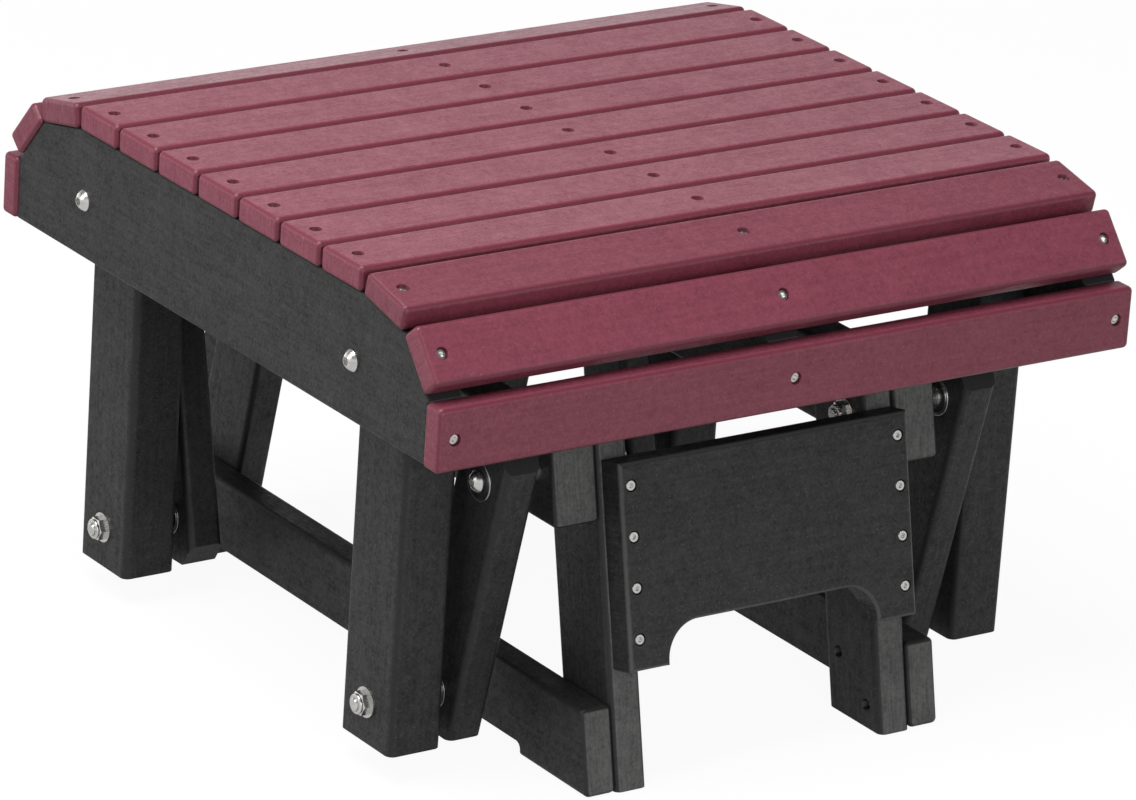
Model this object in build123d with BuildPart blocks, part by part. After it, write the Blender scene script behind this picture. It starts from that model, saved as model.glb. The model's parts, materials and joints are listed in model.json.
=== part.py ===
"""Glider ottoman: a slatted seat on four legs that hang from a standing base by four swing arms.

Millimetres. X runs along the slats, Y from front (minus) to back, Z up from the floor.
The origin is on the floor under the middle of the seat, and front and back are mirror images.
"""

from build123d import *
from math import atan2, cos, hypot, radians, sin, tan
import os

os.makedirs("parts", exist_ok=True)

# ---------------------------------------------------------------- driving dimensions

# seat slats
SEAT_HEIGHT = 390.5  # top of the flat slats above the floor
SLAT_LENGTH = 609.6
SLAT_WIDTH = 51.5
SLAT_THICKNESS = 19.0
SLAT_GAP = 4.0
SLAT_ROUND = 4.0  # long edges
SLAT_END_ROUND = 3.5
FLAT_SLATS = 7
TILTED_SLOPE = 12.0  # degrees below level, the first slat past the flat ones
TILTED_RUN = 55.0  # board edge under that slat
TILTED_START = 1.5  # slat from the fold above it
ANGLED_SLOPE = 49.4  # degrees below level, the next slat
ANGLED_RUN = 51.2
ANGLED_START = 1.0
ANGLED_SLAT_WIDTH = 46.0
EDGE_RUN = 47.5  # upright end of the board
EDGE_SLAT_WIDTH = 48.2
EDGE_SLAT_RISE = 0.3  # upright slat above the board's last fold
SCREW_INSET = 14.0  # outer screw rows from the slat ends

# seat boards and hanging legs
SIDE_BOARD_THICKNESS = 28.6
SLAT_OVERHANG = 2.3  # slats past the side boards
BOARD_ROUND = 2.0
LEG_THICKNESS = 44.5
LEG_WIDTH = 66.0
LEG_ROUND = 6.0
LEG_FLOOR_GAP = 21.8
LEG_SLAT_GAP = 2.0
LEG_BOLT_DROP = 72.0  # leg bolts below the seat's top
LEG_SCREW_OFFSET = 19.0  # leg screws up and across from the leg bolt

# swing arms
LOWER_PIVOT_HEIGHT = 53.2
UPPER_PIVOT_DROP = 28.6  # upper pivots below the base's top
UPPER_PIVOT_INSET = 23.765  # upper pivots from the base's sloping end
ARM_SPREAD = 41.1  # upper pivots further out than the lower ones, which the legs hang on
ARM_THICKNESS = 29.2
ARM_WIDTH = 60.0
ARM_ROUND = 6.0
ARM_END = 33.4  # arm past each pivot, on its middle line
ARM_END_SLOPE = 12.0  # degrees that the ends are off square
ARM_CLIP = 14.5  # clipped corners
ARM_LEG_GAP = 12.4  # spaces beside the arm, filled by spacers
ARM_RAIL_GAP = 17.8

# base
BASE_LENGTH = 600.0  # front foot tip to rear foot tip
BASE_LEAN = 12.5  # degrees that the uprights lean in
BASE_DROP = 133.5  # base's top below the seat's top
BOARD_WIDTH = 63.5  # uprights and rails are cut from one width
UPRIGHT_THICKNESS = 27.5
TOP_RAIL_THICKNESS = 38.1
BOTTOM_RAIL_THICKNESS = 25.4
UPRIGHT_ROUND = 5.5
EDGE_ROUND = 4.0  # rails and panels
RAIL_END_ROUND = 3.5
FOOT_LENGTH = 86.6
FOOT_HEIGHT = 10.0
FOOT_ROUND = 6.0
PANEL_THICKNESS = 22.2
PANEL_INSET = 4.2  # panel ends from the uprights' outer faces
PANEL_START = 90.5  # panel's lower edge, up the lean
PANEL_DROP = 20.2  # panel's upper edge from the upright's top, along the lean
ARCH_INSET = 35.55  # arch from the panel's ends
ARCH_HEIGHT = 29.8
ARCH_ROUND = 26.5
PANEL_SCREWS = 4  # up each side of a panel
PANEL_SCREW_START = 23.3  # lowest screw from the panel's lower edge
PANEL_SCREW_END = 17.3  # highest screw from its upper edge
FRAME_SCREW_ACROSS = 19.2  # frame screws from the middle of their joint
FRAME_SCREW_UP = 14.0
FOOT_JOINT_HEIGHT = 31.0

# bolts, nuts and washers
BOLT_RADIUS = 4.75
BOLT_HEAD_RADIUS = 8.2
BOLT_HEAD_HEIGHT = 5.6
BOLT_HEAD_RIM = 1.2
BOLT_HEAD_FLAT = 3.6
BOLT_CROWN = 10.5  # radius of the head's rounded shoulder
BOLT_SOCKET = 5.6  # across flats
BOLT_SOCKET_DEPTH = 3.2
BOLT_END = 1.8  # bolt past its nut
BOLT_END_BEVEL = 0.8
NUT_FLATS = 16.0
NUT_HEIGHT = 6.0  # hexagon
NUT_BEVEL = 0.75
NUT_COLLAR_RADIUS = 7.6
NUT_COLLAR_HEIGHT = 2.2
NUT_COLLAR_ROUND = 1.0
WASHER_RADIUS = 11.5
WASHER_THICKNESS = 1.6

# screws
SCREW_RADIUS = 2.1
SCREW_HEAD_RADIUS = 4.0
SCREW_HEAD_HEIGHT = 2.2
SCREW_HEAD_BEVEL = 0.5
SCREW_POINT = 5.0
SCREW_DRIVE = 3.6  # across flats
SCREW_DRIVE_DEPTH = 1.7
SCREW_BORE_RADIUS = 4.7  # flat-bottomed bore that the head sits in
SLAT_SCREW_SINK = 2.2  # head below the surface
PANEL_SCREW_SINK = 0.4
FRAME_SCREW_SINK = 5.0
LONG_GRIP = 24.0  # screw in the second board, slats and panels
SHORT_GRIP = 20.0  # the same where the second board is a rail

# bearings
BEARING_RADIUS = 15.0
BEARING_WIDTH = 9.0
BEARING_WALL = 2.75
BEARING_RIM_ROUND = 0.9
BEARING_PROUD = 0.6  # outer ring past the arm's face
SEAL_THICKNESS = 0.9
SEAL_SINK = 0.4  # seals below the outer ring's faces
INNER_RING_RADIUS = 7.75
INNER_RING_PROUD = 0.9
SLEEVE_RADIUS = 7.0  # sleeve between an arm end's two inner rings
ARM_BORE_RADIUS = 11.0  # arm's hole round that sleeve
SPACER_RADIUS = 9.0

# fits, on the radius
BOLT_FIT = 0.15  # bolt in a board, ring, washer or spacer
TIGHT_FIT = 0.02  # nut or screw thread, bearing in its seat
SEAL_FIT = 0.05  # seal round a turning inner ring
OPEN_PIVOT_FIT = 3.3  # the same at the rear lower pivots, which have to give a little

# ---------------------------------------------------------------- places worked out from them

board_outer = SLAT_LENGTH / 2 - SLAT_OVERHANG
leg_outer = board_outer - SIDE_BOARD_THICKNESS
leg_inner = leg_outer - LEG_THICKNESS
arm_outer = leg_inner - ARM_LEG_GAP
arm_inner = arm_outer - ARM_THICKNESS
rail_outer = arm_inner - ARM_RAIL_GAP
upright_outer = rail_outer - TOP_RAIL_THICKNESS
upright_inner = upright_outer - UPRIGHT_THICKNESS
upright_middle = upright_outer - UPRIGHT_THICKNESS / 2
screw_rows = (SCREW_INSET - SLAT_LENGTH / 2, 0, SLAT_LENGTH / 2 - SCREW_INSET)

bolt_hole = BOLT_RADIUS + BOLT_FIT
screw_hole = SCREW_RADIUS + TIGHT_FIT
nut_stack = WASHER_THICKNESS + NUT_HEIGHT + NUT_COLLAR_HEIGHT + BOLT_END

base_lean = radians(BASE_LEAN)
base_height = SEAT_HEIGHT - BASE_DROP
upper_pivot_height = base_height - UPPER_PIVOT_DROP
upper_y = BASE_LENGTH / 2 - upper_pivot_height * tan(base_lean) - UPPER_PIVOT_INSET
lower_y = upper_y - ARM_SPREAD
arm_reach = hypot(ARM_SPREAD, upper_pivot_height - LOWER_PIVOT_HEIGHT)

slat_underside = SEAT_HEIGHT - SLAT_THICKNESS
slat_pitch = SLAT_WIDTH + SLAT_GAP
fold_y = FLAT_SLATS * slat_pitch / 2
leg_top = slat_underside - LEG_SLAT_GAP
leg_top -= max(0, lower_y + LEG_WIDTH / 2 - fold_y) * tan(radians(TILTED_SLOPE))
leg_bolt_height = SEAT_HEIGHT - LEG_BOLT_DROP

panel_width = 2 * (upright_outer - PANEL_INSET)
panel_height = base_height / cos(base_lean) - PANEL_START - PANEL_DROP
panel_screw_pitch = (panel_height - PANEL_SCREW_START - PANEL_SCREW_END) / (PANEL_SCREWS - 1)
panel_screw_rows = [PANEL_START + PANEL_SCREW_START + n * panel_screw_pitch for n in range(PANEL_SCREWS)]
arch_width = panel_width - 2 * ARCH_INSET

sides = (("left", -1), ("right", 1))
ends = (("front", -1), ("rear", 1))
corners = [(f"{end_name}_{side_name}", end, side) for end_name, end in ends for side_name, side in sides]

# folds of the seat boards' top edge, from the middle to the rear, as (y, z)
folds = [(fold_y, slat_underside)]
for slope, run in ((TILTED_SLOPE, TILTED_RUN), (ANGLED_SLOPE, ANGLED_RUN), (90, EDGE_RUN)):
    y, z = folds[-1]
    folds.append((y + run * cos(radians(slope)), z - run * sin(radians(slope))))
board_profile = [(-y, z) for y, z in reversed(folds)] + folds

# every slat as (name, width, y and z of its underside's middle, slope down to the rear in degrees)
slats = []
for number in range(FLAT_SLATS):
    y = (number - (FLAT_SLATS - 1) / 2) * slat_pitch
    slats.append((f"top_slat_{number + 1}", SLAT_WIDTH, y, slat_underside, 0))
for end_name, end in ends:
    for kind, width, fold, start, slope in (
        ("tilted", SLAT_WIDTH, folds[0], TILTED_START, TILTED_SLOPE),
        ("angled", ANGLED_SLAT_WIDTH, folds[1], ANGLED_START, ANGLED_SLOPE),
        ("edge", EDGE_SLAT_WIDTH, folds[2], -EDGE_SLAT_RISE, 90),
    ):
        reach = start + width / 2
        y = fold[0] + reach * cos(radians(slope))
        z = fold[1] - reach * sin(radians(slope))
        slats.append((f"{end_name}_{kind}_slat", width, end * y, z, end * slope))


def across(side, x, y, z, facing=1):
    """Plane square to X at a place on one side, facing out of the ottoman, or into it with -1."""
    return Plane(origin=(side * x, y, z), x_dir=(0, 1, 0), z_dir=(side * facing, 0, 0))


def slat_plane(slat, x=0, rise=0):
    """Plane in a slat's underside facing out through it, moved along X and outward."""
    name, width, y, z, slope = slat
    normal = Vector(0, sin(radians(slope)), cos(radians(slope)))
    return Plane(origin=Vector(x, y, z) + normal * rise, x_dir=(1, 0, 0), z_dir=normal)


def upright_plane(end, x, up, out):
    """Plane facing out of the base's sloping end, from the foot tip up the lean and outward."""
    along = Vector(0, -end * sin(base_lean), cos(base_lean))
    normal = Vector(0, end * cos(base_lean), sin(base_lean))
    foot = Vector(x, end * BASE_LENGTH / 2, 0)
    return Plane(origin=foot + along * up + normal * out, x_dir=(-end, 0, 0), z_dir=normal)


def base_edge(z):
    """Half length of the base at a height, where uprights and rails end on one sloping line."""
    return BASE_LENGTH / 2 - z * tan(base_lean)


def frame_joint(end, height):
    """The two screw places, as (y, z), of the joint between an upright and a rail."""
    middle = base_edge(height) - BOARD_WIDTH / 2 / cos(base_lean)
    upper = (end * (middle - FRAME_SCREW_ACROSS), height + FRAME_SCREW_UP)
    lower = (end * (middle + FRAME_SCREW_ACROSS), height - FRAME_SCREW_UP)
    return upper, lower


rail_middle = base_height - BOARD_WIDTH / 2
frame_screw_places = {
    end: [*frame_joint(end, FOOT_JOINT_HEIGHT), *frame_joint(end, rail_middle)] for _, end in ends
}
leg_screw_places = {
    end: [
        (end * lower_y - LEG_SCREW_OFFSET, leg_bolt_height + LEG_SCREW_OFFSET),
        (end * lower_y + LEG_SCREW_OFFSET, leg_bolt_height - LEG_SCREW_OFFSET),
    ]
    for _, end in ends
}

# ---------------------------------------------------------------- fasteners and rings, standing on Z = 0


def bolt(length):
    """Round-head socket bolt, its head on Z = 0 and its shank below."""
    with BuildPart() as piece:
        with BuildSketch(Plane.XZ):
            with BuildLine():
                shoulder = (BOLT_HEAD_RADIUS, BOLT_HEAD_RIM)
                top = (BOLT_HEAD_FLAT, BOLT_HEAD_HEIGHT)
                Polyline(
                    (0, -length),
                    (BOLT_RADIUS - BOLT_END_BEVEL, -length),
                    (BOLT_RADIUS, BOLT_END_BEVEL - length),
                    (BOLT_RADIUS, 0),
                    (BOLT_HEAD_RADIUS, 0),
                    shoulder,
                )
                RadiusArc(shoulder, top, -BOLT_CROWN)
                Polyline(top, (0, BOLT_HEAD_HEIGHT), (0, -length))
            make_face()
        revolve(axis=Axis.Z)
        with BuildSketch(Plane.XY.offset(BOLT_HEAD_HEIGHT)):
            RegularPolygon(BOLT_SOCKET / 2, 6, major_radius=False)
        extrude(amount=-BOLT_SOCKET_DEPTH, mode=Mode.SUBTRACT)
    return piece.part


def lock_nut():
    """Hexagon with bevelled corners, under the round collar that holds the locking ring."""
    corner = NUT_FLATS / 2 / cos(radians(30))
    with BuildPart() as piece:
        with BuildSketch():
            RegularPolygon(corner, 6)
        extrude(amount=NUT_HEIGHT)
        with BuildSketch(Plane.XZ):
            with BuildLine():
                Polyline(
                    (0, 0),
                    (corner, 0),
                    (corner, NUT_HEIGHT - NUT_BEVEL),
                    (corner - 2 * NUT_BEVEL, NUT_HEIGHT),
                    (0, NUT_HEIGHT),
                    close=True,
                )
            make_face()
        revolve(axis=Axis.Z, mode=Mode.INTERSECT)
        with BuildSketch(Plane.XY.offset(NUT_HEIGHT)):
            Circle(NUT_COLLAR_RADIUS)
        extrude(amount=NUT_COLLAR_HEIGHT)
        fillet(piece.faces().sort_by(Axis.Z)[-1].edges(), radius=NUT_COLLAR_ROUND)
        Hole(BOLT_RADIUS + TIGHT_FIT)
    return piece.part


def screw(length):
    """Flat-topped screw, the underside of its head on Z = 0."""
    with BuildPart() as piece:
        with BuildSketch(Plane.XZ):
            with BuildLine():
                Polyline(
                    (0, -length),
                    (SCREW_RADIUS, SCREW_POINT - length),
                    (SCREW_RADIUS, 0),
                    (SCREW_HEAD_RADIUS, 0),
                    (SCREW_HEAD_RADIUS, SCREW_HEAD_HEIGHT - SCREW_HEAD_BEVEL),
                    (SCREW_HEAD_RADIUS - SCREW_HEAD_BEVEL, SCREW_HEAD_HEIGHT),
                    (0, SCREW_HEAD_HEIGHT),
                    close=True,
                )
            make_face()
        revolve(axis=Axis.Z)
        with BuildSketch(Plane.XY.offset(SCREW_HEAD_HEIGHT)):
            RegularPolygon(SCREW_DRIVE / 2, 6, major_radius=False)
        extrude(amount=-SCREW_DRIVE_DEPTH, mode=Mode.SUBTRACT)
    return piece.part


def tube(outer, inner, length):
    """Plain ring: washer, spacer, sleeve or seal."""
    with BuildPart() as piece:
        with BuildSketch():
            Circle(outer)
            Circle(inner, mode=Mode.SUBTRACT)
        extrude(amount=length)
    return piece.part


# ---------------------------------------------------------------- seat: slats

for slat in slats:
    with BuildPart() as board:
        slat_name, width, y, z, slope = slat
        left_end = Plane(origin=(-SLAT_LENGTH / 2, y, z), x_dir=slat_plane(slat).y_dir, z_dir=(1, 0, 0))
        with BuildSketch(left_end):
            RectangleRounded(width, SLAT_THICKNESS, SLAT_ROUND, align=(Align.CENTER, Align.MIN))
        extrude(amount=SLAT_LENGTH)
        slat_ends = board.edges().group_by(Axis.X)
        fillet(slat_ends[0] + slat_ends[-1], radius=SLAT_END_ROUND)
        with Locations(*[slat_plane(slat, x, SLAT_THICKNESS) for x in screw_rows]):
            CounterBoreHole(screw_hole, SCREW_BORE_RADIUS, SLAT_SCREW_SINK + SCREW_HEAD_HEIGHT)
    board.part.label = slat_name
    export_step(board.part, f"parts/{slat_name}.step")

slat_screw_rise = SLAT_THICKNESS - SLAT_SCREW_SINK - SCREW_HEAD_HEIGHT
slat_screw = screw(slat_screw_rise + LONG_GRIP)
with BuildPart() as slat_screws:
    with Locations(*[slat_plane(slat, x, slat_screw_rise) for slat in slats for x in screw_rows]):
        add(slat_screw)
slat_screws.part.label = "slat_screws"
export_step(slat_screws.part, "parts/slat_screws.step")

# ---------------------------------------------------------------- seat: boards under the slats

board_middle = board_outer - SIDE_BOARD_THICKNESS / 2
for board_name, x in (
    ("left_side_board", -board_middle),
    ("centre_board", 0),
    ("right_side_board", board_middle),
):
    with BuildPart() as board:
        with BuildSketch(Plane.YZ.offset(x - SIDE_BOARD_THICKNESS / 2)):
            Polygon(*board_profile, align=None)
        extrude(amount=SIDE_BOARD_THICKNESS)
        board_faces = board.faces().sort_by(Axis.X)
        fillet(board_faces[0].edges() + board_faces[-1].edges(), radius=BOARD_ROUND)
        screw_x = min(screw_rows, key=lambda row: abs(row - x))
        with Locations(*[slat_plane(slat, screw_x) for slat in slats]):
            Hole(screw_hole, LONG_GRIP)
        if x:
            side = x / abs(x)
            with Locations(*[across(side, board_outer, end * lower_y, leg_bolt_height) for _, end in ends]):
                Hole(bolt_hole)
            with Locations(
                *[across(side, leg_outer, y, z, -1) for _, end in ends for y, z in leg_screw_places[end]]
            ):
                Hole(screw_hole, SHORT_GRIP)
    board.part.label = board_name
    export_step(board.part, f"parts/{board_name}.step")

# ---------------------------------------------------------------- seat: hanging legs

for corner_name, end, side in corners:
    with BuildPart() as leg:
        leg_x = side * (leg_inner + LEG_THICKNESS / 2)
        with BuildSketch(Plane(origin=(leg_x, end * lower_y, LEG_FLOOR_GAP))):
            RectangleRounded(LEG_THICKNESS, LEG_WIDTH, LEG_ROUND)
        extrude(amount=leg_top - LEG_FLOOR_GAP)
        with Locations(
            across(side, leg_outer, end * lower_y, leg_bolt_height),
            across(side, leg_outer, end * lower_y, LOWER_PIVOT_HEIGHT),
        ):
            Hole(bolt_hole)
        with Locations(*[across(side, leg_inner, y, z, -1) for y, z in leg_screw_places[end]]):
            CounterBoreHole(screw_hole, SCREW_BORE_RADIUS, FRAME_SCREW_SINK + SCREW_HEAD_HEIGHT)
    leg.part.label = f"{corner_name}_leg"
    export_step(leg.part, f"parts/{corner_name}_leg.step")

leg_screw_start = leg_inner + FRAME_SCREW_SINK + SCREW_HEAD_HEIGHT
leg_screw = screw(leg_outer + SHORT_GRIP - leg_screw_start)
with BuildPart() as leg_screws:
    for _, end, side in corners:
        with Locations(*[across(side, leg_screw_start, y, z, -1) for y, z in leg_screw_places[end]]):
            add(leg_screw)
leg_screws.part.label = "leg_screws"
export_step(leg_screws.part, "parts/leg_screws.step")

leg_bolt = bolt(board_outer - leg_inner + nut_stack)
with BuildPart() as leg_bolts:
    with Locations(*[across(side, board_outer, end * lower_y, leg_bolt_height) for _, end, side in corners]):
        add(leg_bolt)
leg_bolts.part.label = "leg_bolts"
export_step(leg_bolts.part, "parts/leg_bolts.step")

washer = tube(WASHER_RADIUS, bolt_hole, WASHER_THICKNESS)
with BuildPart() as leg_bolt_washers:
    washer_places = [across(side, leg_inner, end * lower_y, leg_bolt_height, -1) for _, end, side in corners]
    with Locations(*washer_places):
        add(washer)
leg_bolt_washers.part.label = "leg_bolt_washers"
export_step(leg_bolt_washers.part, "parts/leg_bolt_washers.step")

nut = lock_nut()
with BuildPart() as leg_bolt_nuts:
    nut_x = leg_inner - WASHER_THICKNESS
    with Locations(*[across(side, nut_x, end * lower_y, leg_bolt_height, -1) for _, end, side in corners]):
        add(nut)
leg_bolt_nuts.part.label = "leg_bolt_nuts"
export_step(leg_bolt_nuts.part, "parts/leg_bolt_nuts.step")

# ---------------------------------------------------------------- swing arms and their bearings

bearing_depth = BEARING_WIDTH - BEARING_PROUD
sleeve_length = ARM_THICKNESS - 2 * bearing_depth
inner_ring_length = bearing_depth + INNER_RING_PROUD
seal_outer = BEARING_RADIUS - BEARING_WALL


def bearing_ring():
    """A ball bearing's outer ring, its rounded rim on top."""
    with BuildPart() as piece:
        with BuildSketch():
            Circle(BEARING_RADIUS)
            Circle(seal_outer, mode=Mode.SUBTRACT)
        extrude(amount=BEARING_WIDTH)
        rim = piece.edges().group_by(Axis.Z)[-1].sort_by(SortBy.RADIUS)[-1]
        fillet(rim, radius=BEARING_RIM_ROUND)
    return piece.part


def arm_faces(side, end, depth):
    """Planes for the arm's four bearings, facing out of each face from a depth inside it."""
    pivots = ((end * lower_y, LOWER_PIVOT_HEIGHT), (end * upper_y, upper_pivot_height))
    faces = ((arm_outer - depth, 1), (arm_inner + depth, -1))
    return [across(side, x, y, z, facing) for y, z in pivots for x, facing in faces]


for corner_name, end, side in corners:
    arm_x = side * (arm_inner + ARM_THICKNESS / 2)
    up_arm = Vector(0, end * ARM_SPREAD, upper_pivot_height - LOWER_PIVOT_HEIGHT).normalized()
    lower_pivot = Vector(arm_x, end * lower_y, LOWER_PIVOT_HEIGHT)
    with BuildPart() as arm:
        with BuildSketch(Plane(origin=lower_pivot - up_arm * 2 * ARM_END, x_dir=(1, 0, 0), z_dir=up_arm)):
            RectangleRounded(ARM_THICKNESS, ARM_WIDTH, ARM_ROUND)
        extrude(amount=arm_reach + 4 * ARM_END)
        # local x runs up the arm, and local y out of the ottoman
        with BuildSketch(Plane(origin=lower_pivot, x_dir=up_arm, z_dir=(-end, 0, 0))):
            edge = ARM_WIDTH / 2
            clip = edge - ARM_CLIP
            short = ARM_END - edge * tan(radians(ARM_END_SLOPE))
            long = ARM_END + clip * tan(radians(ARM_END_SLOPE))
            Polygon(
                (ARM_CLIP - long, -edge),
                (arm_reach + short, -edge),
                (arm_reach + long, clip),
                (arm_reach + long - ARM_CLIP, edge),
                (-short, edge),
                (-long, -clip),
                align=None,
            )
        extrude(amount=ARM_THICKNESS, both=True, mode=Mode.INTERSECT)
        with Locations(*arm_faces(side, end, 0)):
            CounterBoreHole(ARM_BORE_RADIUS, BEARING_RADIUS + TIGHT_FIT, bearing_depth)
    arm.part.label = f"{corner_name}_arm"
    export_step(arm.part, f"parts/{corner_name}_arm.step")

    with BuildPart() as bearings:
        with Locations(*arm_faces(side, end, bearing_depth)):
            add(bearing_ring())
    bearings.part.label = f"{corner_name}_bearings"
    export_step(bearings.part, f"parts/{corner_name}_bearings.step")

    # the linkage closes through the front lower pivots, so the rear ones leave room round the inner rings
    lower_fit = SEAL_FIT if end < 0 else OPEN_PIVOT_FIT
    with BuildPart() as seals:
        for depth in (bearing_depth - SEAL_SINK, SEAL_SINK + SEAL_THICKNESS - BEARING_PROUD):
            for plane, fit in zip(arm_faces(side, end, depth), (lower_fit, lower_fit, SEAL_FIT, SEAL_FIT)):
                with Locations(plane):
                    add(tube(seal_outer, INNER_RING_RADIUS + fit, SEAL_THICKNESS))
    seals.part.label = f"{corner_name}_bearing_seals"
    export_step(seals.part, f"parts/{corner_name}_bearing_seals.step")

# ---------------------------------------------------------------- pivots

inner_ring = tube(INNER_RING_RADIUS, bolt_hole, inner_ring_length)
sleeve = tube(SLEEVE_RADIUS, bolt_hole, sleeve_length)
head_outer = arm_outer + INNER_RING_PROUD
head_inner = arm_inner - INNER_RING_PROUD
sleeve_outer = arm_outer - bearing_depth

# at each upper pivot the bolt stands in the base, its head outside the arm and its nut inside the upright
upper_places = [(side, end * upper_y, upper_pivot_height) for _, end, side in corners]
upper_bolt = bolt(head_outer - upright_inner + nut_stack)
upper_spacer = tube(SPACER_RADIUS, bolt_hole, head_inner - rail_outer)

with BuildPart() as upper_pivot_bolts:
    with Locations(*[across(side, head_outer, y, z) for side, y, z in upper_places]):
        add(upper_bolt)
upper_pivot_bolts.part.label = "upper_pivot_bolts"
export_step(upper_pivot_bolts.part, "parts/upper_pivot_bolts.step")

with BuildPart() as upper_inner_rings:
    with Locations(*[across(side, head_outer, y, z, -1) for side, y, z in upper_places]):
        add(inner_ring)
    with Locations(*[across(side, head_inner, y, z) for side, y, z in upper_places]):
        add(inner_ring)
upper_inner_rings.part.label = "upper_inner_rings"
export_step(upper_inner_rings.part, "parts/upper_inner_rings.step")

with BuildPart() as upper_pivot_spacers:
    with Locations(*[across(side, sleeve_outer, y, z, -1) for side, y, z in upper_places]):
        add(sleeve)
    with Locations(*[across(side, rail_outer, y, z) for side, y, z in upper_places]):
        add(upper_spacer)
upper_pivot_spacers.part.label = "upper_pivot_spacers"
export_step(upper_pivot_spacers.part, "parts/upper_pivot_spacers.step")

with BuildPart() as upper_pivot_washers:
    with Locations(*[across(side, upright_inner, y, z, -1) for side, y, z in upper_places]):
        add(washer)
upper_pivot_washers.part.label = "upper_pivot_washers"
export_step(upper_pivot_washers.part, "parts/upper_pivot_washers.step")

with BuildPart() as upper_pivot_nuts:
    nut_x = upright_inner - WASHER_THICKNESS
    with Locations(*[across(side, nut_x, y, z, -1) for side, y, z in upper_places]):
        add(nut)
upper_pivot_nuts.part.label = "upper_pivot_nuts"
export_step(upper_pivot_nuts.part, "parts/upper_pivot_nuts.step")

# at each lower pivot the bolt hangs in the leg, its head inside the arm and its nut outside the leg
lower_places = [(side, end * lower_y, LOWER_PIVOT_HEIGHT) for _, end, side in corners]
lower_bolt = bolt(leg_outer - head_inner + nut_stack)
lower_spacer = tube(SPACER_RADIUS, bolt_hole, leg_inner - head_outer)

with BuildPart() as lower_pivot_bolts:
    with Locations(*[across(side, head_inner, y, z, -1) for side, y, z in lower_places]):
        add(lower_bolt)
lower_pivot_bolts.part.label = "lower_pivot_bolts"
export_step(lower_pivot_bolts.part, "parts/lower_pivot_bolts.step")

with BuildPart() as lower_inner_rings:
    with Locations(*[across(side, head_outer, y, z, -1) for side, y, z in lower_places]):
        add(inner_ring)
    with Locations(*[across(side, head_inner, y, z) for side, y, z in lower_places]):
        add(inner_ring)
lower_inner_rings.part.label = "lower_inner_rings"
export_step(lower_inner_rings.part, "parts/lower_inner_rings.step")

with BuildPart() as lower_pivot_spacers:
    with Locations(*[across(side, sleeve_outer, y, z, -1) for side, y, z in lower_places]):
        add(sleeve)
    with Locations(*[across(side, leg_inner, y, z, -1) for side, y, z in lower_places]):
        add(lower_spacer)
lower_pivot_spacers.part.label = "lower_pivot_spacers"
export_step(lower_pivot_spacers.part, "parts/lower_pivot_spacers.step")

with BuildPart() as lower_pivot_washers:
    with Locations(*[across(side, leg_outer, y, z) for side, y, z in lower_places]):
        add(washer)
lower_pivot_washers.part.label = "lower_pivot_washers"
export_step(lower_pivot_washers.part, "parts/lower_pivot_washers.step")

with BuildPart() as lower_pivot_nuts:
    with Locations(*[across(side, leg_outer + WASHER_THICKNESS, y, z) for side, y, z in lower_places]):
        add(nut)
lower_pivot_nuts.part.label = "lower_pivot_nuts"
export_step(lower_pivot_nuts.part, "parts/lower_pivot_nuts.step")

# ---------------------------------------------------------------- base: uprights and rails

for corner_name, end, side in corners:
    with BuildPart() as upright:
        start = upright_plane(end, side * upright_middle, -BOARD_WIDTH / 2, -BOARD_WIDTH / 2)
        with BuildSketch(Plane(origin=start.origin, x_dir=(1, 0, 0), z_dir=start.y_dir)):
            RectangleRounded(UPRIGHT_THICKNESS, BOARD_WIDTH, UPRIGHT_ROUND)
        extrude(amount=base_height / cos(base_lean) + BOARD_WIDTH)
        with BuildSketch(Plane.XY):
            Rectangle(SLAT_LENGTH, 2 * BASE_LENGTH)
        extrude(amount=base_height, mode=Mode.INTERSECT)
        with Locations(across(side, upright_inner, end * upper_y, upper_pivot_height)):
            Hole(bolt_hole)
        with Locations(*[across(side, upright_inner, y, z, -1) for y, z in frame_screw_places[end]]):
            CounterBoreHole(screw_hole, SCREW_BORE_RADIUS, FRAME_SCREW_SINK + SCREW_HEAD_HEIGHT)
        with Locations(*[upright_plane(end, side * upright_middle, up, 0) for up in panel_screw_rows]):
            Hole(screw_hole, LONG_GRIP)
    upright.part.label = f"{corner_name}_upright"
    export_step(upright.part, f"parts/{corner_name}_upright.step")

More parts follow.
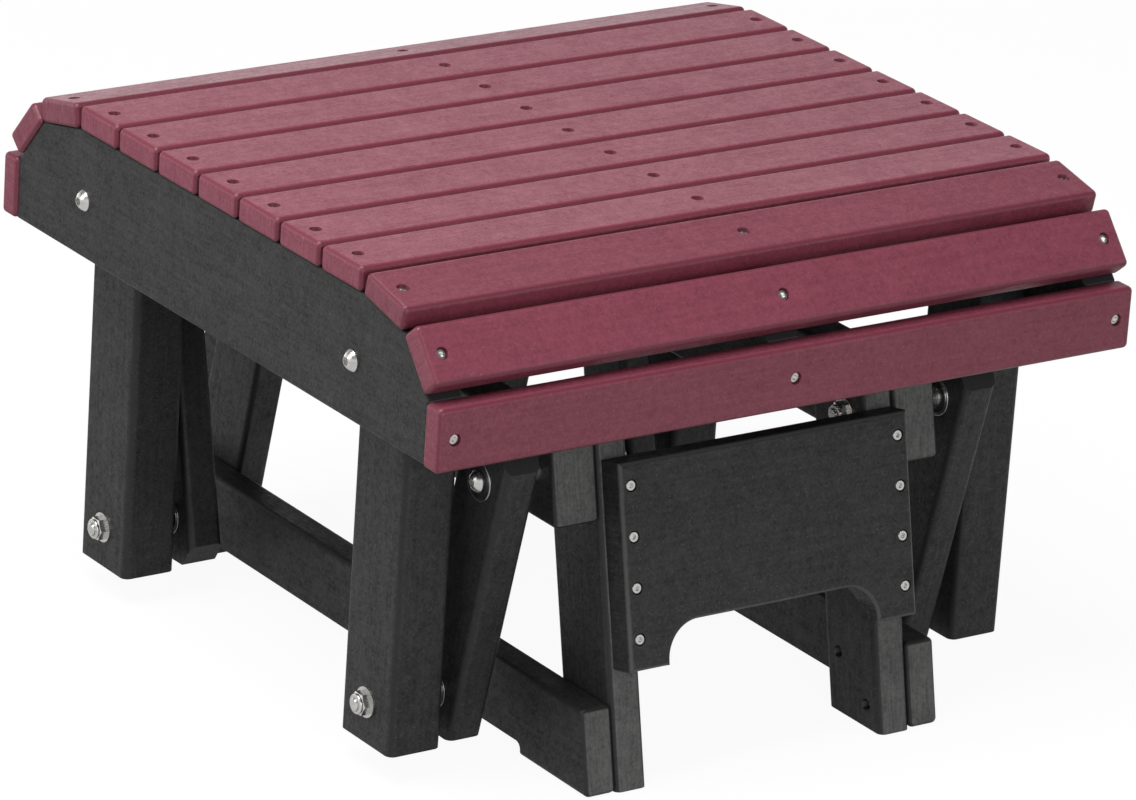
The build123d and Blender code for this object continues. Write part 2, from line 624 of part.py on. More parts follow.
for side_name, side in sides:
    for rail_name, thickness, bottom in (
        ("top_rail", TOP_RAIL_THICKNESS, base_height - BOARD_WIDTH),
        ("bottom_rail", BOTTOM_RAIL_THICKNESS, 0),
    ):
        rail_x = side * (upright_outer + thickness / 2)
        top = bottom + BOARD_WIDTH
        with BuildPart() as rail:
            rear = Plane(origin=(rail_x, BASE_LENGTH / 2, bottom), x_dir=(1, 0, 0), z_dir=(0, -1, 0))
            with BuildSketch(rear):
                RectangleRounded(thickness, BOARD_WIDTH, EDGE_ROUND, align=(Align.CENTER, Align.MIN))
            extrude(amount=BASE_LENGTH)
            with BuildSketch(Plane.YZ.offset(rail_x)):
                Polygon(
                    (-base_edge(bottom), bottom),
                    (base_edge(bottom), bottom),
                    (base_edge(top), top),
                    (-base_edge(top), top),
                    align=None,
                )
            extrude(amount=thickness, both=True, mode=Mode.INTERSECT)
            end_faces = rail.faces().sort_by(Axis.Y)
            fillet(end_faces[0].edges() + end_faces[-1].edges(), radius=RAIL_END_ROUND)
            if rail_name == "bottom_rail":
                with BuildSketch(Plane.YZ.offset(rail_x)):
                    notch = Rectangle(BASE_LENGTH - 2 * FOOT_LENGTH, 2 * FOOT_HEIGHT)
                    fillet(notch.vertices().group_by(Axis.Y)[-1], radius=FOOT_ROUND)
                extrude(amount=thickness, both=True, mode=Mode.SUBTRACT)
            else:
                pivots = [across(side, rail_outer, end * upper_y, upper_pivot_height) for _, end in ends]
                with Locations(*pivots):
                    Hole(bolt_hole)
            joint_height = FOOT_JOINT_HEIGHT if rail_name == "bottom_rail" else rail_middle
            with Locations(
                *[
                    across(side, upright_outer, y, z, -1)
                    for _, end in ends
                    for y, z in frame_joint(end, joint_height)
                ]
            ):
                Hole(screw_hole, SHORT_GRIP)
        rail.part.label = f"{side_name}_{rail_name}"
        export_step(rail.part, f"parts/{side_name}_{rail_name}.step")

frame_screw_start = upright_inner + FRAME_SCREW_SINK + SCREW_HEAD_HEIGHT
frame_screw = screw(upright_outer + SHORT_GRIP - frame_screw_start)
with BuildPart() as frame_screws:
    for _, end, side in corners:
        with Locations(*[across(side, frame_screw_start, y, z, -1) for y, z in frame_screw_places[end]]):
            add(frame_screw)
frame_screws.part.label = "frame_screws"
export_step(frame_screws.part, "parts/frame_screws.step")

# ---------------------------------------------------------------- base: end panels

for end_name, end in ends:
    with BuildPart() as panel:
        with BuildSketch(upright_plane(end, 0, PANEL_START, 0)):
            Rectangle(panel_width, panel_height, align=(Align.CENTER, Align.MIN))
            with BuildSketch(mode=Mode.SUBTRACT):
                arch = Rectangle(arch_width, 2 * ARCH_HEIGHT)
                fillet(arch.vertices().group_by(Axis.Y)[-1], radius=ARCH_ROUND)
        extrude(amount=PANEL_THICKNESS)
        outer_face = panel.faces().sort_by(Axis((0, 0, 0), upright_plane(end, 0, 0, 0).z_dir))[-1]
        fillet(outer_face.edges(), radius=EDGE_ROUND)
        with Locations(
            *[
                upright_plane(end, side * upright_middle, up, PANEL_THICKNESS)
                for _, side in sides
                for up in panel_screw_rows
            ]
        ):
            CounterBoreHole(screw_hole, SCREW_BORE_RADIUS, PANEL_SCREW_SINK + SCREW_HEAD_HEIGHT)
    panel.part.label = f"{end_name}_panel"
    export_step(panel.part, f"parts/{end_name}_panel.step")

panel_screw_rise = PANEL_THICKNESS - PANEL_SCREW_SINK - SCREW_HEAD_HEIGHT
panel_screw = screw(panel_screw_rise + LONG_GRIP)
with BuildPart() as panel_screws:
    for _, end, side in corners:
        screw_places = [
            upright_plane(end, side * upright_middle, up, panel_screw_rise) for up in panel_screw_rows
        ]
        with Locations(*screw_places):
            add(panel_screw)
panel_screws.part.label = "panel_screws"
export_step(panel_screws.part, "parts/panel_screws.step")
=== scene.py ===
# %% [markdown]
# # A glider ottoman, from CAD solids to a finished picture
#
# The ottoman is a slatted burgundy seat that hangs from a black base by four swing arms. Its solids
# come from a CAD program with their places and joints. This lesson gives them their finishes, adds the
# small shapes that a CAD model leaves out, and lights and frames the whole thing.

import json
from math import cos, degrees, pi, radians, sin

import bpy
import numpy as np
from mathutils import Matrix, Vector


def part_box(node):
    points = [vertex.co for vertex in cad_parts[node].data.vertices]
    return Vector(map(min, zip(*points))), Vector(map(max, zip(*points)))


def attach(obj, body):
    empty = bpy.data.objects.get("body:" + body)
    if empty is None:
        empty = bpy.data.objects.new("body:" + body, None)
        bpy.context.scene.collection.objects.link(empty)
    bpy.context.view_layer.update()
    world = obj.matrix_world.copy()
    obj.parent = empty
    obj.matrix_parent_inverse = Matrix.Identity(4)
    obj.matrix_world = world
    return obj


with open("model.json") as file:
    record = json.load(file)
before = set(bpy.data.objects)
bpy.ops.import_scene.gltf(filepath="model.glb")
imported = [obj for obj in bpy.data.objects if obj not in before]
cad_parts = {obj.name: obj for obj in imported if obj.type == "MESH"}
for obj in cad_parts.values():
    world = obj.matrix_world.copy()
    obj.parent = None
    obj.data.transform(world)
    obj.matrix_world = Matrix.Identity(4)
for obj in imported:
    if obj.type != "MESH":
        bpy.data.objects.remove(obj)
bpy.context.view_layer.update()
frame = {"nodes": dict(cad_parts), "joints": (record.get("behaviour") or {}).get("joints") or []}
nodes = frame["nodes"]


# %% [markdown]
# ## Where the pivots are
#
# Each swing arm turns on a bolt in the base at its top and carries a leg of the seat on a bolt at its
# bottom. The places of these axes are read from the joints rather than typed in, so that the pieces
# and the finishes that are centred on them stay right if the ottoman is built in another size.

# %% Read the pivots
joints = {joint["name"]: joint for joint in frame["joints"]}
arm_joint = joints["front_left_arm_pivot"]
seat_joint = joints["seat_pivot"]
UPPER_PIVOT = (abs(arm_joint["pos_m"][1]), arm_joint["pos_m"][2])
LOWER_PIVOT = (abs(seat_joint["pos_m"][1]), seat_joint["pos_m"][2])
leg_bolt_low, leg_bolt_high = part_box("leg_bolts")
LEG_BOLT = (LOWER_PIVOT[0], (leg_bolt_low.z + leg_bolt_high.z) / 2)
ARM_LEAN = np.arctan2(UPPER_PIVOT[0] - LOWER_PIVOT[0], UPPER_PIVOT[1] - LOWER_PIVOT[1])
print(f"upper pivots at y {UPPER_PIVOT[0]:.4f}, z {UPPER_PIVOT[1]:.4f}")
print(f"arms lean {degrees(ARM_LEAN):.1f} degrees")


# %% [markdown]
# ## Shader maths as Python
#
# A finish is worked out by small nodes that add, multiply and compare. Wiring them one by one hides
# the idea behind them, so a `Wire` stands for one socket and its operators add the Math nodes:
# `1 - mask * 0.3` reads as it would on paper. Everything else goes through one method, `Finish.node`,
# which takes a node's type, its settings, and the values or wires of its inputs.

# %% A wire that can be written as maths
class Wire:
    """One output socket in an expression on numbers."""

    def __init__(self, finish, socket):
        self.finish = finish
        self.socket = socket

    def maths(self, operation, *values):
        inputs = dict(enumerate(values))
        return self.finish.node("ShaderNodeMath", {"operation": operation}, inputs)

    def __add__(self, other):
        return self.maths("ADD", self, other)

    def __radd__(self, other):
        return self.maths("ADD", other, self)

    def __sub__(self, other):
        return self.maths("SUBTRACT", self, other)

    def __rsub__(self, other):
        return self.maths("SUBTRACT", other, self)

    def __mul__(self, other):
        return self.maths("MULTIPLY", self, other)

    def __rmul__(self, other):
        return self.maths("MULTIPLY", other, self)

    def __abs__(self):
        return self.maths("ABSOLUTE", self)

    def power(self, other):
        return self.maths("POWER", self, other)

    def most(self, other):
        return self.maths("MAXIMUM", self, other)

    def least(self, other):
        return self.maths("MINIMUM", self, other)

    def wave(self):
        return self.maths("SINE", self)

    def between(self, low, high):
        """0 below low, 1 above high, and a smooth step from one to the other."""
        inputs = {"Value": self, "From Min": low, "From Max": high}
        return self.finish.node("ShaderNodeMapRange", {"interpolation_type": "SMOOTHSTEP"}, inputs)


# %% A finish that makes nodes
class Finish:
    """A material, or the world, as a set of nodes that wires join."""

    def __init__(self, name, owner=None):
        self.owner = owner or bpy.data.materials.new(name)
        self.owner.use_nodes = True
        self.tree = self.owner.node_tree
        self.tree.nodes.clear()

    def node(self, kind, settings=None, inputs=None, output=0):
        made = self.tree.nodes.new(kind)
        for setting, value in (settings or {}).items():
            setattr(made, setting, value)
        for name, value in (inputs or {}).items():
            if isinstance(value, Wire):
                self.tree.links.new(value.socket, made.inputs[name])
            else:
                made.inputs[name].default_value = value
        return Wire(self, made.outputs[output])

    def place(self):
        """The point on the piece, in metres, which stays with the piece when it moves."""
        return self.node("ShaderNodeTexCoord", output="Object")

    def facing(self):
        """The surface's direction in the piece's own axes."""
        return self.node("ShaderNodeTexCoord", output="Normal")

    def along(self, wire, direction):
        """How far a point lies, or how much a surface faces, along a direction."""
        inputs = {0: wire, 1: tuple(direction)}
        return self.node("ShaderNodeVectorMath", {"operation": "DOT_PRODUCT"}, inputs, "Value")

    def stretched(self, wire, axes, scales):
        """The point measured along three axes of a board, each times its own scale."""
        parts = [self.along(wire, axis) * scale for axis, scale in zip(axes, scales)]
        return self.node("ShaderNodeCombineXYZ", inputs=dict(zip("XYZ", parts)))

    def noise(self, wire, scale, detail=2.0, roughness=0.5):
        """Soft random values around 0.5."""
        inputs = {"Vector": wire, "Scale": scale, "Detail": detail, "Roughness": roughness}
        return self.node("ShaderNodeTexNoise", {"noise_dimensions": "3D"}, inputs)

    def blend(self, share, first, second):
        """One colour turning into another. 6, 7 and output 2 are the Mix node's colours."""
        return self.node("ShaderNodeMix", {"data_type": "RGBA"}, {0: share, 6: first, 7: second}, 2)

    def surface(self, colour, roughness, height, relief, metallic=0.0, specular=0.5):
        """The finished surface. The relief is in metres, and the height goes from about 0 to 1."""
        bumps = {"Strength": 1.0, "Distance": relief, "Height": height}
        bump = self.node("ShaderNodeBump", inputs=bumps)
        inputs = {
            "Base Color": colour,
            "Roughness": roughness,
            "Normal": bump,
            "Metallic": metallic,
            "Specular IOR Level": specular,
        }
        shader = self.node("ShaderNodeBsdfPrincipled", inputs=inputs, output="BSDF")
        self.show(shader)
        return self.owner

    def show(self, shader, kind="ShaderNodeOutputMaterial"):
        """Wire a shader to the output."""
        end = self.tree.nodes.new(kind)
        self.tree.links.new(shader.socket, end.inputs["Surface"])


def colour(red, green, blue):
    """A colour in linear light, with its alpha."""
    return (red, green, blue, 1.0)


print("a finish is", Finish.__doc__.lower())


# %% [markdown]
# ## Plastic lumber
#
# The boards are recycled plastic, coloured all the way through and extruded in long lengths. Their skin
# is matte with a fine pebbled mottle and faint drawn lines along the board. On a rounded edge the
# plastic is smoother and darker: partly its own deeper colour, partly painted shade from the gaps
# beside the edge. A sawn end is rougher and keeps the marks of the blade, and on the black boards it
# looks lighter.
#
# All of this could be painted on an image, but then each board would need its own unwrapping. Here one
# recipe reads the place and the direction of the surface along the board's own axes, so that it
# works on every board, whichever way it runs.

# %% The lumber recipe
LUMBER_RELIEF = 0.00014


def board_axes(grain, wide):
    """Three directions of a board: along its grain, across its width and through its thickness."""
    grain = Vector(grain).normalized()
    wide = Vector(wide).normalized()
    return grain, wide, grain.cross(wide)


def lumber(name, plastic, axes, cut=(0,), rim=None):
    """Recycled-plastic lumber: skin, rounded edges and sawn faces from one set of masks.

    The cut axes are those whose faces are sawn. With a rim axis, only edges that look partly along it
    count as rounded.
    """
    finish = Finish(name)
    place = finish.place()
    facing = finish.facing()

    # how squarely the surface faces along the board's axes: 1 on a flat face, less on a rounded edge
    turned = [abs(finish.along(facing, axis)) for axis in axes]
    square = turned[0].most(turned[1]).most(turned[2])
    rounded = 1 - square.between(0.80, 0.985)
    if rim is not None:
        rounded = rounded * turned[rim].between(0.10, 0.35)
    sawn_faces = [turned[number].between(0.86, 0.93) for number in cut]
    sawn = sawn_faces[0]
    for face in sawn_faces[1:]:
        sawn = sawn.most(face)

    # a noise with a scale of 430 a metre has features of about 2 mm, and one of 30 about 30 mm
    pebbles = finish.noise(place, 430, 3, 0.62)
    blotches = finish.noise(place, 150, 2, 0.5)
    clouds = finish.noise(place, 30, 3, 0.55)
    drawn = finish.noise(finish.stretched(place, axes, (14, 330, 330)), 1.0, 2, 0.5)
    blade = finish.noise(finish.stretched(place, axes, (45, 520, 45)), 1.0, 2, 0.6)
    speck_inputs = {"Vector": place, "Scale": 560}
    distance = finish.node("ShaderNodeTexVoronoi", inputs=speck_inputs, output="Distance")
    specks = 1 - distance.between(0.12, 0.30)
    sparse = finish.noise(place, 260, 1, 0.5).between(0.54, 0.62)

    mottle = (pebbles - 0.5) * 1.5 + (blotches - 0.5) * 0.8 + (clouds - 0.5) * 0.5
    mottle = mottle + (drawn - 0.5) * 0.6 * (1 - sawn) + (blade - 0.5) * 1.1 * sawn
    tone = (0.5 + mottle * plastic["contrast"]).most(0.0).least(1.0)
    skin = finish.blend(tone, plastic["dark"], plastic["light"])
    cut_face = finish.blend(tone, plastic["cut_dark"], plastic["cut_light"])
    body = finish.blend(sawn, skin, cut_face)
    # the edge colour is partly the plastic's deeper colour and partly painted shade from the gaps
    # beside the edges
    body = finish.blend(rounded * 0.85, body, plastic["edge"])
    body = finish.blend(specks * sparse * 0.6 * (1 - rounded * 0.7), body, plastic["fleck"])

    rough = plastic["dull"] - (tone - 0.5) * 0.30 - rounded * 0.08 + sawn * 0.08
    height = pebbles * (1 - rounded * 0.75) + drawn * 0.5 * (1 - sawn) + blade * 1.2 * sawn
    return finish.surface(body, rough, height, LUMBER_RELIEF, specular=plastic["specular"])


# %% The two plastics
BURGUNDY = {
    "dark": colour(0.120, 0.014, 0.032),
    "light": colour(0.262, 0.060, 0.092),
    "cut_dark": colour(0.140, 0.020, 0.038),
    "cut_light": colour(0.262, 0.062, 0.096),
    "edge": colour(0.138, 0.020, 0.036),
    "fleck": colour(0.38, 0.15, 0.19),
    "contrast": 0.75,
    "dull": 0.46,
    "specular": 0.5,
}
BLACK = {
    "dark": colour(0.0060, 0.0061, 0.0060),
    "light": colour(0.0320, 0.0324, 0.0318),
    "cut_dark": colour(0.058, 0.058, 0.057),
    "cut_light": colour(0.122, 0.122, 0.120),
    "edge": colour(0.0130, 0.0131, 0.0130),
    "fleck": colour(0.130, 0.132, 0.130),
    "contrast": 1.1,
    "dull": 0.54,
    "specular": 0.38,
}

# the end panels' ends take the dark skin colour as painted shade from the seat and rails round them,
# and their routed rims are lighter, partly the lighter inside and partly a painted highlight
PANEL = dict(BLACK)
PANEL["cut_dark"] = BLACK["dark"]
PANEL["cut_light"] = BLACK["light"]
# the rim colour is partly the lighter inside of the plastic and partly a painted highlight
PANEL["edge"] = colour(0.075, 0.076, 0.075)
print("a plastic has", ", ".join(BURGUNDY))


# %% [markdown]
# ## Dressing the boards
#
# Every board runs its own way: slats along X, rails and seat boards along Y, legs upright, and arms
# and uprights at a lean. A material for each direction keeps the drawn lines along the board and
# the blade marks on its ends. The slats past the flat ones are turned about X, so their faces are
# measured along turned axes as well. The uprights' front and rear faces are sawn too, and the panels
# are routed only round their large faces.

# %% Give each board its finish
X_AXIS = Vector((1, 0, 0))
BASE_LEAN = radians(12.5)
# the level slats' colour is raised by this factor as painted light on their tops
FLAT_PAINTED_LIGHT = 1.08
# kind of slat, its slope in degrees, and the factor its colour is scaled by; below 1, on the tilted
# slats, it is painted shade
SLOPING_SLATS = (("tilted", 12.0, 0.93), ("angled", 49.4, 1.0), ("edge", 90.0, 1.0))


def leaning(slope):
    """Direction in the YZ plane that rises from the Y axis by a slope in radians."""
    return Vector((0, cos(slope), sin(slope)))


def dress(material, *names):
    """Give CAD nodes a material, which leaves their meshes as they are."""
    for name in names:
        mesh = nodes[name].data
        mesh.materials.clear()
        mesh.materials.append(material)


def slat_finish(name, slope, painted_light):
    """A slat's finish, its colours scaled to paint the light it gets: lighter on the level slats,
    darker on the tilted ones.
    """
    lit_plastic = dict(BURGUNDY)
    for shade in ("dark", "light", "cut_dark", "cut_light", "edge"):
        lit_plastic[shade] = colour(*[value * painted_light for value in BURGUNDY[shade][:3]])
    return lumber(name, lit_plastic, board_axes(X_AXIS, leaning(slope)))


def board_finish(name, grain, cut=(0,)):
    """A black board's finish, with its grain along a direction in the YZ plane."""
    return lumber(name, BLACK, board_axes(grain, X_AXIS), cut)


flat_slats = [name for name in nodes if name.startswith("top_slat")]
dress(slat_finish("slat_flat", 0, FLAT_PAINTED_LIGHT), *flat_slats)
for end, sign in (("front", 1), ("rear", -1)):
    for kind, slope, painted_light in SLOPING_SLATS:
        dress(slat_finish(f"slat_{end}_{kind}", radians(sign * slope), painted_light), f"{end}_{kind}_slat")

long_boards = board_finish("lumber_lengthwise", (0, 1, 0))
upright_boards = board_finish("lumber_upright", (0, 0, 1))
dress(long_boards, "left_side_board", "centre_board", "right_side_board")
for side in ("left", "right"):
    dress(long_boards, f"{side}_top_rail", f"{side}_bottom_rail")
    dress(upright_boards, f"front_{side}_leg", f"rear_{side}_leg")

for end, sign in (("front", -1), ("rear", 1)):
    up_arm = (0, sign * sin(ARM_LEAN), cos(ARM_LEAN))
    up_lean = (0, -sign * sin(BASE_LEAN), cos(BASE_LEAN))
    dress(board_finish(f"lumber_arm_{end}", up_arm), f"{end}_left_arm", f"{end}_right_arm")
    lean_boards = board_finish(f"lumber_lean_{end}", up_lean, cut=(0, 2))
    dress(lean_boards, f"{end}_left_upright", f"{end}_right_upright")
    dress(lumber(f"lumber_panel_{end}", PANEL, board_axes(X_AXIS, up_lean), rim=2), f"{end}_panel")
boards = [one for one in bpy.data.materials if one.name.startswith(("slat", "lumber"))]
print("lumber finishes:", len(boards))


# %% [markdown]
# ## Steel and rubber
#
# The bolts, nuts, washers and screws are stainless steel: bright, with the fine rings that turning
# leaves on a round head. The ball bearings' rings are a darker ground steel, and between them sits a
# black rubber seal with a moulded groove. The fine rings need a centre. Every pivot has a twin on the
# other side of the middle, so one material serves them all by measuring the distance to the nearest
# axis with |y| in place of y.

# %% Steel with rings round the nearest axis
STEEL_RELIEF = 0.00001


def ring_distance(finish, place, axes):
    """Distance from the nearest of some axes that run along X, by Pythagoras across them."""
    ahead = abs(finish.along(place, (0, 1, 0)))
    above = finish.along(place, (0, 0, 1))
    nearest = None
    for y, z in axes:
        square = (ahead - y).power(2.0) + (above - z).power(2.0)
        distance = square.power(0.5)
        nearest = distance if nearest is None else nearest.least(distance)
    return nearest


def steel(name, tint, dull, ring_pitch):
    """Turned steel: rings of one pitch round each axis, under fine random scratches."""
    finish = Finish(name)
    place = finish.place()
    distance = ring_distance(finish, place, (UPPER_PIVOT, LOWER_PIVOT, LEG_BOLT))
    grain = finish.noise(place, 900, 3, 0.6)
    haze = finish.noise(place, 160, 2, 0.5)
    rings = (distance * (2 * pi / ring_pitch) + grain * 2.0).wave() * 0.5 + 0.5
    shaded = colour(*[value * 0.86 for value in tint])
    body = finish.blend(haze.between(0.3, 0.7), shaded, colour(*tint))
    rough = dull + (haze - 0.5) * 0.14 + (grain - 0.5) * 0.08
    return finish.surface(body, rough, rings * 0.5 + grain * 0.3, STEEL_RELIEF, metallic=1.0)


stainless = steel("stainless_steel", (0.74, 0.73, 0.71), 0.26, 0.00045)
bearing_steel = steel("bearing_steel", (0.42, 0.43, 0.44), 0.30, 0.00030)
FASTENERS = ("_screws", "_bolts", "_washers", "_nuts", "_spacers")
fasteners = [name for name in nodes if name.endswith(FASTENERS)]
races = [name for name in nodes if name.endswith(("_bearings", "_inner_rings"))]
dress(stainless, *fasteners)
dress(bearing_steel, *races)
print("stainless steel on", len(fasteners), "groups and ground steel on", len(races))

# %% The rubber seals
GROOVE_RADIUS = 0.0104
GROOVE_SIDES = (0.0002, 0.0006)  # how far its floor and its edge lie from that radius
SEAL_RELIEF = 0.00018
rubber = Finish("seal_rubber")
place = rubber.place()
distance = ring_distance(rubber, place, (UPPER_PIVOT, LOWER_PIVOT))
groove = 1 - abs(distance - GROOVE_RADIUS).between(*GROOVE_SIDES)
grain = rubber.noise(place, 1200, 2, 0.5)
body = rubber.blend(grain, colour(0.010, 0.010, 0.011), colour(0.020, 0.020, 0.021))
seal = rubber.surface(body, 0.46 + grain * 0.16, grain * 0.08 - groove, SEAL_RELIEF, specular=0.4)
seals = [name for name in nodes if name.endswith("_bearing_seals")]
dress(seal, *seals)
print("rubber on", len(seals), "groups of seals")


# %% [markdown]
# ## Surfaces from numpy
#
# The small shapes that follow are round or screw-shaped, so each is a surface of two parameters on a
# grid: one runs round a section and the other along it. numpy works out all points at once. Helpers
# close the grid by joining its last column to its first, stand a copy at each bolt, and put all copies
# into one mesh. The piece's object stays at the origin with its place in its mesh.

# %% From a grid of points to a mesh
def grid_faces(rows, columns, start):
    """Quads of a grid that closes round its columns, as indices from a start."""
    row, column = np.meshgrid(np.arange(rows - 1), np.arange(columns), indexing="ij")
    after = (column + 1) % columns
    here = row * columns
    above = here + columns
    corners = [here + column, here + after, above + after, above + column]
    return start + np.stack(corners, axis=-1).reshape(-1, 4)


def stand(points, seat, side):
    """Points made round local Z, stood on a place with Z along X for side 1, against it for -1."""
    x, y, z = points[..., 0], points[..., 1], points[..., 2]
    return np.stack([seat[0] + side * z, seat[1] + side * x, seat[2] + y], axis=-1)


def make_piece(name, grids, material, body):
    """One mesh from several grids of one size, riding on a body."""
    rows, columns = grids[0].shape[:2]
    starts = np.arange(len(grids)) * rows * columns
    points = np.concatenate([grid.reshape(-1, 3) for grid in grids])
    faces = np.concatenate([grid_faces(rows, columns, start) for start in starts])
    mesh = bpy.data.meshes.new(name)
    mesh.from_pydata(points.tolist(), [], faces.tolist())
    mesh.validate()
    mesh.polygons.foreach_set("use_smooth", np.ones(len(mesh.polygons), bool))
    mesh.materials.append(material)
    piece = bpy.data.objects.new(name, mesh)
    bpy.context.scene.collection.objects.link(piece)
    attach(piece, body)
    print(f"{name}: {len(points)} points, {len(faces)} faces, riding on {body}")


# %% [markdown]
# ## Threads on the bolt ends
#
# Each pivot bolt and leg bolt ends a little past its lock nut, and the last turn of its thread shows
# there. A thread could be cut into the bolt, but only this turn is ever seen. So a ridge winds round
# the bolt: a small oval section carried along a helix, fading to nothing at both ends so that the
# surface closes.

# %% Wind the threads
def reach(name):
    """Least and greatest distance from the middle plane, along X, of a group of fasteners."""
    coordinates = np.empty(len(nodes[name].data.vertices) * 3)
    nodes[name].data.vertices.foreach_get("co", coordinates)
    far = np.abs(coordinates.reshape(-1, 3)[:, 0])
    return far.min(), far.max()


BOLT_RADIUS = 0.00475
THREAD_PITCH = 0.00110
THREAD_START = 0.0002  # how far past the nut the thread starts
THREAD_MARGIN = 0.0010  # how much shorter it is than the bolt's end
RIDGE_SINK = 0.00006  # how far inside the bolt the middle of its section lies
RIDGE_OUT = 0.00024
RIDGE_RISE = 0.00030
RIDGE_STEPS = 56
RIDGE_CORNERS = 8


def thread_ridge(length):
    """Ridge of a thread, on a grid of turns t and section angles s.

    radius = bolt - sink + out * cos s, and height = t * pitch + rise * sin s.
    """
    turns = length / THREAD_PITCH
    section = np.linspace(0, 2 * pi, RIDGE_CORNERS, endpoint=False)
    t, s = np.meshgrid(np.linspace(0, turns, RIDGE_STEPS), section, indexing="ij")
    fade = np.clip(np.minimum(t, turns - t) * 3, 0, 1)
    radius = BOLT_RADIUS - RIDGE_SINK + RIDGE_OUT * fade * np.cos(s)
    height = t * THREAD_PITCH + RIDGE_RISE * fade * np.sin(s)
    angle = 2 * pi * t
    return np.stack([radius * np.cos(angle), radius * np.sin(angle), height], axis=-1)[:, ::-1]


def four_places(axis_place, far):
    """The four corners at one axis, a distance out along X, with the side of each."""
    y, z = axis_place
    return [((side * far, end * y, z), side) for end in (-1, 1) for side in (-1, 1)]


def bolt_ends(axis_place, nuts, bolts, outward):
    """Places where bolts leave their nuts, the side that each faces, and how far they stand out."""
    nut_low, nut_high = reach(nuts)
    bolt_low, bolt_high = reach(bolts)
    start, length = (nut_high, bolt_high - nut_high) if outward else (nut_low, nut_low - bolt_low)
    facing = 1 if outward else -1
    return [(seat, side * facing) for seat, side in four_places(axis_place, start)], length


BOLT_GROUPS = {
    "lower_pivot": ("seat", bolt_ends(LOWER_PIVOT, "lower_pivot_nuts", "lower_pivot_bolts", True)),
    "upper_pivot": ("base", bolt_ends(UPPER_PIVOT, "upper_pivot_nuts", "upper_pivot_bolts", False)),
    "leg_bolt": ("seat", bolt_ends(LEG_BOLT, "leg_bolt_nuts", "leg_bolts", False)),
}
for group, (body, (places, length)) in BOLT_GROUPS.items():
    ridge = thread_ridge(length - THREAD_MARGIN) + np.array([0, 0, THREAD_START])
    ridges = [stand(ridge, seat, side) for seat, side in places]
    make_piece(f"{group}_threads", ridges, stainless, body)


# %% [markdown]
# ## Nylon rings in the lock nuts
#
# A lock nut grips its bolt with a nylon ring that is crimped under its round collar. Seen from the end
# it is a pale ring between the steel and the bolt. It is a rounded section carried round the bolt.

# %% Turn the rings
RING_MIDDLE = 0.00528
RING_HALF_WIDTH = 0.00047
RING_RISE = 0.00022
RING_STEPS = 48
RING_CORNERS = 12
NYLON_RELIEF = 0.00003
nylon_finish = Finish("nut_nylon")
place = nylon_finish.place()
cloud = nylon_finish.noise(place, 700, 2, 0.5)
milky = nylon_finish.blend(cloud, colour(0.42, 0.42, 0.40), colour(0.56, 0.56, 0.53))
nylon = nylon_finish.surface(milky, 0.42 + cloud * 0.1, cloud, NYLON_RELIEF)


def nylon_ring():
    """Rounded ring, on a grid of section angles s and angles a round the bolt.

    radius = middle + half width * cos s, and height = rise * sin s.
    """
    section = np.linspace(0, 2 * pi, RING_CORNERS + 1)
    around = np.linspace(0, 2 * pi, RING_STEPS, endpoint=False)
    s, a = np.meshgrid(section, around, indexing="ij")
    radius = RING_MIDDLE + RING_HALF_WIDTH * np.cos(s)
    height = RING_RISE * np.sin(s)
    return np.stack([radius * np.cos(a), radius * np.sin(a), height], axis=-1)


for group, (body, (places, _)) in BOLT_GROUPS.items():
    rings = [stand(nylon_ring(), seat, side) for seat, side in places]
    make_piece(f"{group}_nylon_rings", rings, nylon, body)


# %% [markdown]
# ## The camera
#
# The photograph was taken with a long lens from the front left and a little above. The camera's
# direction and place were solved from the edges that run along X, Y and Z and from the ottoman's
# mirror symmetry. A slight roll is part of the solution.

# %% Set the camera
CAMERA_PLACE = Vector((-2.83732, -3.99446, 2.0172))
BACKWARD = Vector((-0.54424, -0.76173, 0.35151)).normalized()
LEVEL = Vector((0.81366, -0.58134, 0)).normalized()
ROLL = radians(3.901)
LENS = 221.02
upward = BACKWARD.cross(LEVEL)
right = cos(ROLL) * LEVEL + sin(ROLL) * upward
top = cos(ROLL) * upward - sin(ROLL) * LEVEL
camera = bpy.data.objects.new("camera", bpy.data.cameras.new("camera"))
bpy.context.scene.collection.objects.link(camera)
turn = Matrix((right, top, BACKWARD)).transposed().to_4x4()
camera.matrix_world = Matrix.Translation(CAMERA_PLACE) @ turn
camera.data.lens = LENS
camera.data.sensor_width = 36.0
bpy.context.scene.camera = camera
print(f"camera {camera.location.length:.2f} m away, lens {camera.data.lens:.0f} mm")


# %% [markdown]
# ## Floor, surroundings and lamps
#
# The ottoman stands in a white studio. The floor is plain and pale, and the camera sees it as nearly
# white while it still takes a soft shadow. The surroundings are bright low down, where the studio's
# walls are, and dimmer above, which is why the level slats shine at this low angle while the tilted
# one in front of them doesn't. The wall behind is the brightest, and the last slat mirrors it. A wide
# soft lamp hangs above, and two weaker ones stand to the left and in front, low enough to reach the
# legs and arms under the seat. The strengths of floor and walls are shares of a plain white.

# %% The floor
FLOOR_SIZE = 9.0
FLOOR_LEVEL = -0.0003  # just under the feet, so that no two faces lie in one plane
FLOOR_GREY = 0.34
FLOOR_GLOW = 1.20
GLOW_SHARE = 0.78  # of what the camera sees, the rest being the lit floor
MIRRORED = 0.45  # how much of the glow the pieces mirror
floor_mesh = bpy.data.meshes.new("studio_floor")
edge = FLOOR_SIZE / 2
floor_points = [(x * edge, y * edge, FLOOR_LEVEL) for x, y in ((-1, -1), (1, -1), (1, 1), (-1, 1))]
floor_mesh.from_pydata(floor_points, [], [(0, 1, 2, 3)])
floor = bpy.data.objects.new("studio_floor", floor_mesh)
bpy.context.scene.collection.objects.link(floor)

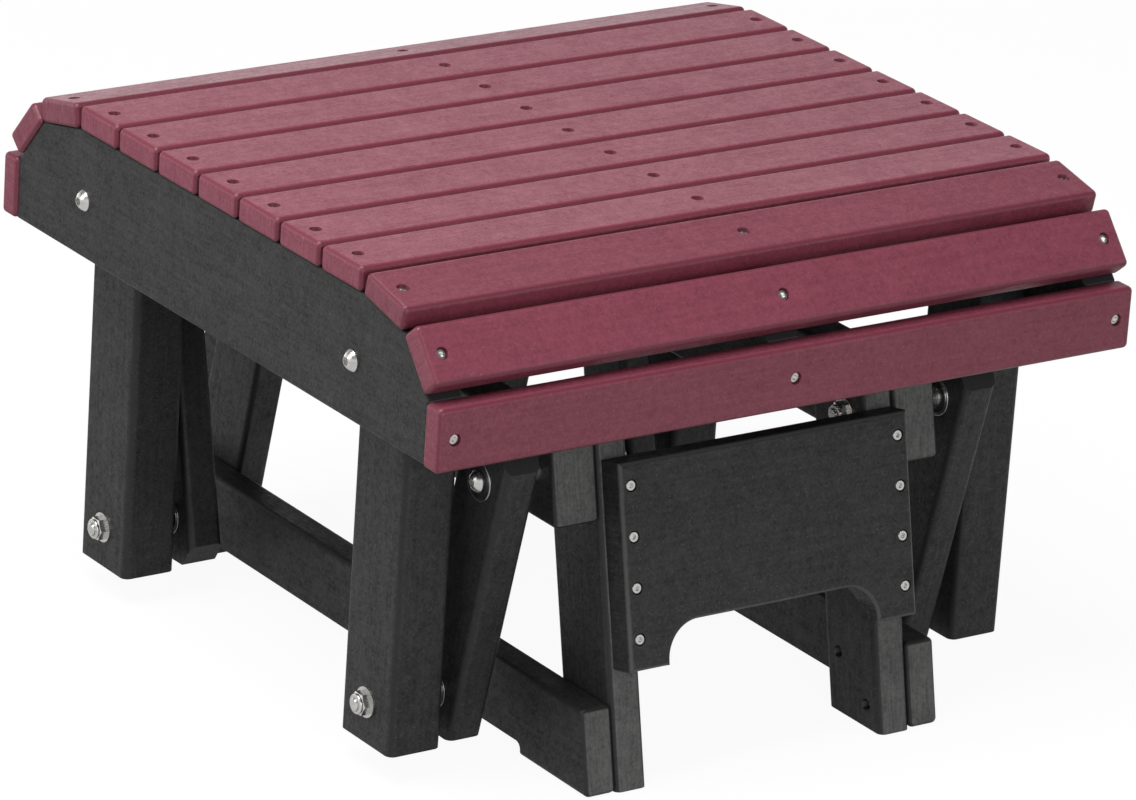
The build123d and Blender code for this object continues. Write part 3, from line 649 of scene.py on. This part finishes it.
paint = Finish("studio_white")
camera_ray = paint.node("ShaderNodeLightPath", output="Is Camera Ray")
glossy_ray = paint.node("ShaderNodeLightPath", output="Is Glossy Ray")
through_ray = paint.node("ShaderNodeLightPath", output="Is Transmission Ray")
seen = camera_ray.most(glossy_ray * MIRRORED).most(through_ray)
pale = {"Color": colour(FLOOR_GREY, FLOOR_GREY, FLOOR_GREY)}
white = {"Color": colour(1, 1, 1), "Strength": FLOOR_GLOW}
matte = paint.node("ShaderNodeBsdfDiffuse", inputs=pale, output="BSDF")
glow = paint.node("ShaderNodeEmission", inputs=white, output="Emission")
mixed = {0: seen * GLOW_SHARE, 1: matte, 2: glow}
paint.show(paint.node("ShaderNodeMixShader", inputs=mixed, output="Shader"))
floor_mesh.materials.append(paint.owner)
print("floor", FLOOR_SIZE, "m square")

# %% The surroundings
WALLS = 0.95
FRONT_DIMMER = 0.16
REAR_BRIGHTER = 0.9
CEILING_DIMMER = 0.78
world = bpy.data.worlds.new("studio")
bpy.context.scene.world = world
sky = Finish("studio", world)
direction = sky.node("ShaderNodeTexCoord", output="Generated")
climb = sky.along(direction, (0, 0, 1))
ceiling = climb.between(0.32, 0.52)
ahead = sky.along(direction, (0, -1, 0))
rear_wall = (1 - ahead.between(-0.9, -0.6)) * (1 - climb.between(0.06, 0.24))
walls = WALLS - ahead.between(-0.3, 0.8) * FRONT_DIMMER + rear_wall * REAR_BRIGHTER
camera_ray = sky.node("ShaderNodeLightPath", output="Is Camera Ray")
lit = walls * (1 - ceiling * CEILING_DIMMER)
strength = lit * (1 - camera_ray) + camera_ray  # the camera itself sees plain white
light = {"Color": colour(1, 1, 1), "Strength": strength}
background = sky.node("ShaderNodeBackground", inputs=light, output="Background")
sky.show(background, "ShaderNodeOutputWorld")
print("surroundings in", len(sky.tree.nodes), "nodes")


# %% The lamps
LAMP_TARGET = Vector((0, 0, 0.2))


def soft_lamp(name, place, size, power):
    """A square area lamp that faces the middle of the ottoman."""
    lamp = bpy.data.lights.new(name, "AREA")
    lamp.size = size
    lamp.energy = power
    thing = bpy.data.objects.new(name, lamp)
    bpy.context.scene.collection.objects.link(thing)
    aim = LAMP_TARGET - Vector(place)
    facing = aim.to_track_quat("-Z", "Y").to_matrix().to_4x4()
    thing.matrix_world = Matrix.Translation(place) @ facing
    print(f"{name}: {power:.0f} W, {size:.1f} m across, {aim.length:.1f} m away")


soft_lamp("lamp_above", (-0.8, -0.1, 2.5), 1.6, 54)
soft_lamp("lamp_left", (-2.5, 0.3, 1.8), 1.4, 17)
soft_lamp("lamp_front", (-0.6, -2.5, 0.8), 1.2, 14)

# colours are shown as they are, without a film curve
bpy.context.scene.view_settings.view_transform = "Standard"


# %% [markdown]
# ## The CAD model's size
#
# The finished ottoman has to keep the CAD model's size.
